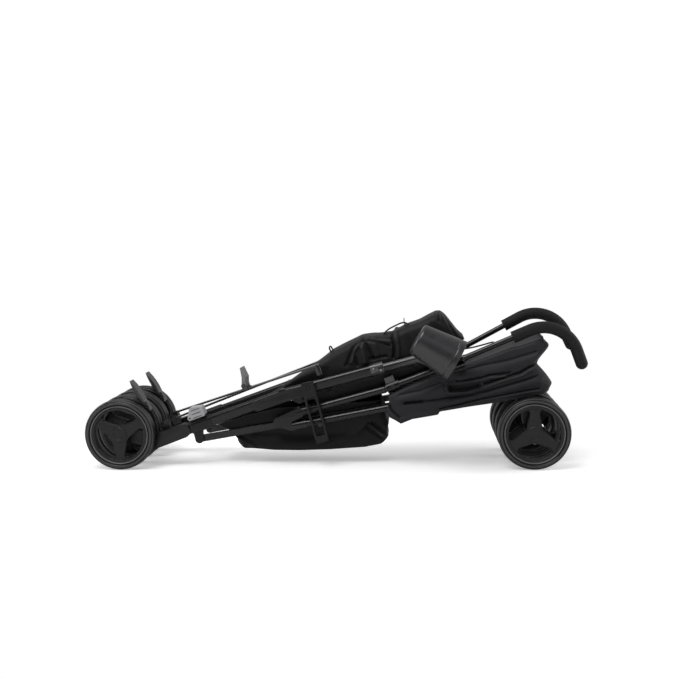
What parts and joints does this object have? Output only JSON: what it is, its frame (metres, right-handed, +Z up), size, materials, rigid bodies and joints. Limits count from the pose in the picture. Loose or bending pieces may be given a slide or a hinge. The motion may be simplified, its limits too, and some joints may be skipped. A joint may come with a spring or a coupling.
{
  "type": "umbrella stroller",
  "caption": "Folded lightweight umbrella stroller on twin wheels, with curved foam grips, a cup holder, folded canopy, crossed brace and basket; it unfolds and widens.",
  "frame": {"origin": "on the floor, midway between the rear and front axles, on the centre plane between the two side frames", "axes": "+X from the rear wheels to the handles, +Y across from the cup holder's side to the other, +Z up from the floor"},
  "size_m": [1.0556, 0.285, 0.3224],
  "materials": {
    "tyre": "matt black foamed tyre",
    "rim": "black moulded plastic with a satin face",
    "steel": "plain steel rod",
    "frame_paint": "satin black paint",
    "black_plastic": "black moulded plastic",
    "brace_metal": "glossy black paint on flat steel",
    "grey_plastic": "light grey moulded plastic",
    "pedal_grey": "mid grey moulded plastic",
    "cup_plastic": "dark grey moulded plastic",
    "foam": "closed-cell foam",
    "canopy_cloth": "woven polyester, slightly shiny",
    "back_cloth": "woven polyester",
    "seat_cloth": "padded polyester",
    "basket_cloth": "thin woven polyester"
  },
  "bodies": {
    "rear_axle": {"rear_axle_near": "steel"},
    "rear_wheel_1": {"tyre_rear_1": "tyre", "rim_rear_1": "rim"},
    "rear_wheel_2": {"tyre_rear_2": "tyre", "rim_rear_2": "rim"},
    "rear_wheel_3": {"tyre_rear_3": "tyre", "rim_rear_3": "rim"},
    "rear_wheel_4": {"tyre_rear_4": "tyre", "rim_rear_4": "rim"},
    "rear_leg_near": {"leg_tube_near": "frame_paint", "rear_foot_near": "black_plastic", "leg_joint_near": "black_plastic", "leg_fork_near": "frame_paint", "leg_bracket_near": "black_plastic", "seat_back": "back_cloth"},
    "rear_leg_far": {"leg_tube_far": "frame_paint", "rear_foot_far": "black_plastic", "leg_joint_far": "black_plastic", "leg_fork_far": "frame_paint", "leg_bracket_far": "black_plastic", "rear_axle_far": "steel"},
    "brake_near": {"brake_pedal_near": "cup_plastic"},
    "brake_far": {"brake_pedal_far": "cup_plastic"},
    "handle_near": {"handle_tube_near": "frame_paint", "handle_clip_near": "black_plastic", "knuckle_near": "black_plastic", "fold_bumper": "cup_plastic", "cup_holder": "cup_plastic", "canopy": "canopy_cloth"},
    "handle_far": {"handle_tube_far": "frame_paint", "handle_clip_far": "black_plastic", "knuckle_far": "black_plastic"},
    "grip_near": {"grip_tube_near": "frame_paint", "foam_grip_near": "foam"},
    "grip_far": {"grip_tube_far": "frame_paint", "foam_grip_far": "foam"},
    "front_leg_near": {"front_leg_near": "frame_paint", "caster_socket_near": "black_plastic"},
    "front_leg_far": {"front_leg_far": "frame_paint", "caster_socket_far": "black_plastic"},
    "caster_near": {"caster_fork_near": "black_plastic"},
    "caster_far": {"caster_fork_far": "black_plastic"},
    "front_wheel_1": {"tyre_front_1": "tyre", "rim_front_1": "rim"},
    "front_wheel_2": {"tyre_front_2": "tyre", "rim_front_2": "rim"},
    "front_wheel_3": {"tyre_front_3": "tyre", "rim_front_3": "rim"},
    "front_wheel_4": {"tyre_front_4": "tyre", "rim_front_4": "rim"},
    "basket_bar_near": {"basket_bar_near": "frame_paint", "basket": "basket_cloth"},
    "basket_bar_far": {"basket_bar_far": "frame_paint"},
    "seat_near": {"seat_board_near": "seat_cloth"},
    "seat_far": {"seat_board_far": "seat_cloth"},
    "brace_near": {"brace_bar_near": "brace_metal"},
    "brace_far": {"brace_bar_far": "brace_metal"},
    "fold_pedal": {"fold_pedal": "pedal_grey"},
    "side_lock": {"side_lock": "grey_plastic"},
    "storage_latch": {"storage_latch": "black_plastic"}
  },
  "joints": [
    {"name": "unfold", "type": "hinge", "parent": "rear_axle", "child": "rear_leg_near", "pos_m": [-0.434, -0.062, 0.075], "axis": [0, -1, 0], "range_deg": [0, 67.9]},
    {"name": "spread_rear_legs", "type": "slide", "parent": "rear_leg_near", "child": "rear_leg_far", "axis": [0, 1, 0], "range_m": [0, 0.215], "deforming": ["seat_back"]},
    {"name": "handle_fold", "type": "hinge", "parent": "rear_leg_near", "child": "handle_near", "pos_m": [0.24576, -0.062, 0.20816], "axis": [0, -1, 0], "range_deg": [0, 31.75]},
    {"name": "spread_handles", "type": "slide", "parent": "handle_near", "child": "handle_far", "axis": [0, 1, 0], "range_m": [0, 0.215], "deforming": ["canopy"]},
    {"name": "front_leg_fold", "type": "hinge", "parent": "handle_near", "child": "front_leg_near", "pos_m": [-0.09788, -0.062, 0.09426], "axis": [0, -1, 0], "range_deg": [-140.2, 0]},
    {"name": "spread_front_legs", "type": "slide", "parent": "front_leg_near", "child": "front_leg_far", "axis": [0, 1, 0], "range_m": [0, 0.215]},
    {"name": "basket_bar_fold", "type": "hinge", "parent": "rear_leg_near", "child": "basket_bar_near", "pos_m": [-0.27231, -0.0491, 0.05615], "axis": [0, -1, 0], "range_deg": [-71.4, 0]},
    {"name": "spread_basket", "type": "slide", "parent": "basket_bar_near", "child": "basket_bar_far", "axis": [0, 1, 0], "range_m": [0, 0.215], "deforming": ["basket"]},
    {"name": "seat_fold", "type": "hinge", "parent": "rear_leg_near", "child": "seat_near", "pos_m": [-0.0547, -0.049, 0.13967], "axis": [0, -1, 0], "range_deg": [-82, 0]},
    {"name": "spread_seat", "type": "slide", "parent": "seat_near", "child": "seat_far", "axis": [0, 1, 0], "range_m": [0, 0.215]},
    {"name": "brace_near_turn", "type": "hinge", "parent": "rear_leg_near", "child": "brace_near", "pos_m": [-0.34956, -0.044, 0.09127], "axis": [-0.3355, 0, 0.9421], "range_deg": [0, 43.1]},
    {"name": "brace_far_turn", "type": "hinge", "parent": "rear_leg_far", "child": "brace_far", "pos_m": [-0.35107, 0.044, 0.09551], "axis": [-0.3355, 0, 0.9421], "range_deg": [-43.1, 0]},
    {"name": "grip_near_turn", "type": "hinge", "parent": "handle_near", "child": "grip_near", "pos_m": [0.24576, -0.062, 0.20816], "axis": [-0.9212, 0, -0.3891], "range_deg": [0, 180]},
    {"name": "grip_far_turn", "type": "hinge", "parent": "handle_far", "child": "grip_far", "pos_m": [0.24576, 0.062, 0.20816], "axis": [0.8821, 0, 0.471], "range_deg": [0, 180]},
    {"name": "caster_near_swivel", "type": "hinge", "parent": "front_leg_near", "child": "caster_near", "pos_m": [0.38593, -0.062, 0.17317], "axis": [-0.6494, 0, 0.7604], "range_deg": [-8, 8]},
    {"name": "caster_far_swivel", "type": "hinge", "parent": "front_leg_far", "child": "caster_far", "pos_m": [0.38593, 0.062, 0.17317], "axis": [-0.6494, 0, 0.7604], "range_deg": [-8, 8]},
    {"name": "rear_wheel_1_spin", "type": "hinge", "parent": "rear_axle", "child": "rear_wheel_1", "pos_m": [-0.434, -0.093, 0.075], "axis": [0, 1, 0], "continuous": true},
    {"name": "rear_wheel_2_spin", "type": "hinge", "parent": "rear_axle", "child": "rear_wheel_2", "pos_m": [-0.434, -0.031, 0.075], "axis": [0, 1, 0], "continuous": true},
    {"name": "rear_wheel_3_spin", "type": "hinge", "parent": "rear_leg_far", "child": "rear_wheel_3", "pos_m": [-0.434, 0.031, 0.075], "axis": [0, 1, 0], "continuous": true},
    {"name": "rear_wheel_4_spin", "type": "hinge", "parent": "rear_leg_far", "child": "rear_wheel_4", "pos_m": [-0.434, 0.093, 0.075], "axis": [0, 1, 0], "continuous": true},
    {"name": "front_wheel_1_spin", "type": "hinge", "parent": "caster_near", "child": "front_wheel_1", "pos_m": [0.434, -0.093, 0.075], "axis": [0, 1, 0], "continuous": true},
    {"name": "front_wheel_2_spin", "type": "hinge", "parent": "caster_near", "child": "front_wheel_2", "pos_m": [0.434, -0.031, 0.075], "axis": [0, 1, 0], "continuous": true},
    {"name": "front_wheel_3_spin", "type": "hinge", "parent": "caster_far", "child": "front_wheel_3", "pos_m": [0.434, 0.031, 0.075], "axis": [0, 1, 0], "continuous": true},
    {"name": "front_wheel_4_spin", "type": "hinge", "parent": "caster_far", "child": "front_wheel_4", "pos_m": [0.434, 0.093, 0.075], "axis": [0, 1, 0], "continuous": true},
    {"name": "brake_near_press", "type": "hinge", "parent": "rear_leg_near", "child": "brake_near", "pos_m": [-0.38, -0.062, 0.123], "axis": [0, -1, 0], "range_deg": [0, 18]},
    {"name": "brake_far_press", "type": "hinge", "parent": "rear_leg_far", "child": "brake_far", "pos_m": [-0.38, 0.062, 0.123], "axis": [0, -1, 0], "range_deg": [0, 18]},
    {"name": "fold_pedal_press", "type": "hinge", "parent": "brace_far", "child": "fold_pedal", "pos_m": [-0.17774, -0.00976, 0.16652], "axis": [-0.2602, -0.9611, -0.0926], "range_deg": [-25, 0]},
    {"name": "side_lock_lift", "type": "hinge", "parent": "rear_leg_near", "child": "side_lock", "pos_m": [-0.28753, -0.062, 0.10486], "axis": [0, -1, 0], "range_deg": [0, 20]},
    {"name": "storage_latch_swing", "type": "hinge", "parent": "rear_leg_near", "child": "storage_latch", "pos_m": [-0.03299, -0.08, 0.17121], "axis": [0, -1, 0], "range_deg": [0, 90]}
  ],
  "couplings": [
    {"joint": "spread_rear_legs", "follows": "unfold", "m_per_rad": 0.1814},
    {"joint": "handle_fold", "follows": "unfold", "ratio": 0.4674},
    {"joint": "spread_handles", "follows": "unfold", "m_per_rad": 0.1814},
    {"joint": "front_leg_fold", "follows": "unfold", "ratio": -2.0642},
    {"joint": "spread_front_legs", "follows": "unfold", "m_per_rad": 0.1814},
    {"joint": "basket_bar_fold", "follows": "unfold", "ratio": -1.0502},
    {"joint": "spread_basket", "follows": "unfold", "m_per_rad": 0.1814},
    {"joint": "seat_fold", "follows": "unfold", "ratio": -1.2068},
    {"joint": "spread_seat", "follows": "unfold", "m_per_rad": 0.1814},
    {"joint": "brace_near_turn", "follows": "unfold", "ratio": 0.6344},
    {"joint": "brace_far_turn", "follows": "unfold", "ratio": -0.6344},
    {"joint": "grip_near_turn", "follows": "unfold", "ratio": 2.6503},
    {"joint": "grip_far_turn", "follows": "unfold", "ratio": 2.6503}
  ]
}
